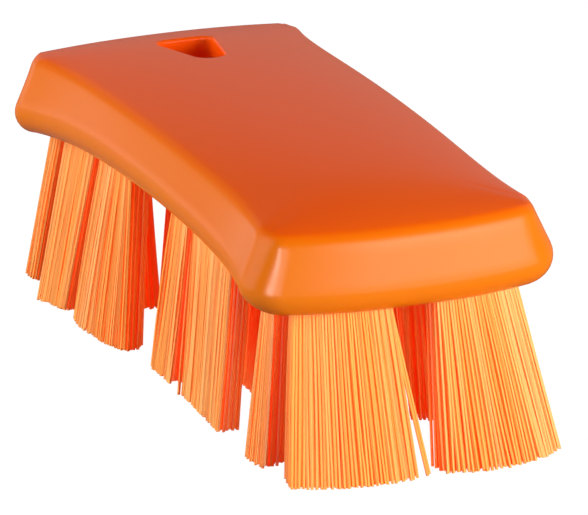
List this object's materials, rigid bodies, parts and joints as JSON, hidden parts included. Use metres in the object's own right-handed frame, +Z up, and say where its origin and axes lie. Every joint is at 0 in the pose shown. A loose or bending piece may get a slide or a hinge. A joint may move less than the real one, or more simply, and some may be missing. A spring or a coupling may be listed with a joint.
{
  "type": "hand brush",
  "caption": "Hygienic hand brush: an arched, waisted moulded block with a hanging hole, and fused bristle units anchored in its underside that fan out to trimmed tips.",
  "frame": {"origin": "middle of the brush on the plane that the end bristles' tips stand on", "axes": "+X across the block, +Y along it towards the end with the hanging hole, +Z up out of the block's top"},
  "size_m": [0.074, 0.1788, 0.0598],
  "materials": {
    "block_plastic": "moulded orange polypropylene with a soft satin gloss",
    "bristle_plastic": "translucent orange polyester filament, fused at the root"
  },
  "bodies": {
    "root": {"handle_block": "block_plastic", "front_left_end_bristles": "bristle_plastic", "hanging_right_end_bristles": "bristle_plastic", "hanging_left_end_bristles": "bristle_plastic", "front_right_end_bristles": "bristle_plastic", "front_left_corner_bristles": "bristle_plastic", "hanging_right_corner_bristles": "bristle_plastic", "hanging_left_corner_bristles": "bristle_plastic", "front_right_corner_bristles": "bristle_plastic", "front_left_side_bristles": "bristle_plastic", "hanging_right_side_bristles": "bristle_plastic", "front_left_waist_bristles": "bristle_plastic", "hanging_right_waist_bristles": "bristle_plastic", "hanging_left_side_bristles": "bristle_plastic", "front_right_side_bristles": "bristle_plastic", "hanging_left_inner_bristles": "bristle_plastic", "front_right_inner_bristles": "bristle_plastic", "middle_left_inner_bristles": "bristle_plastic", "middle_right_inner_bristles": "bristle_plastic", "front_left_inner_bristles": "bristle_plastic", "hanging_right_inner_bristles": "bristle_plastic", "front_left_cross_bristles": "bristle_plastic", "hanging_right_cross_bristles": "bristle_plastic", "front_centre_bristles": "bristle_plastic", "hanging_centre_bristles": "bristle_plastic"}
  },
  "joints": []
}
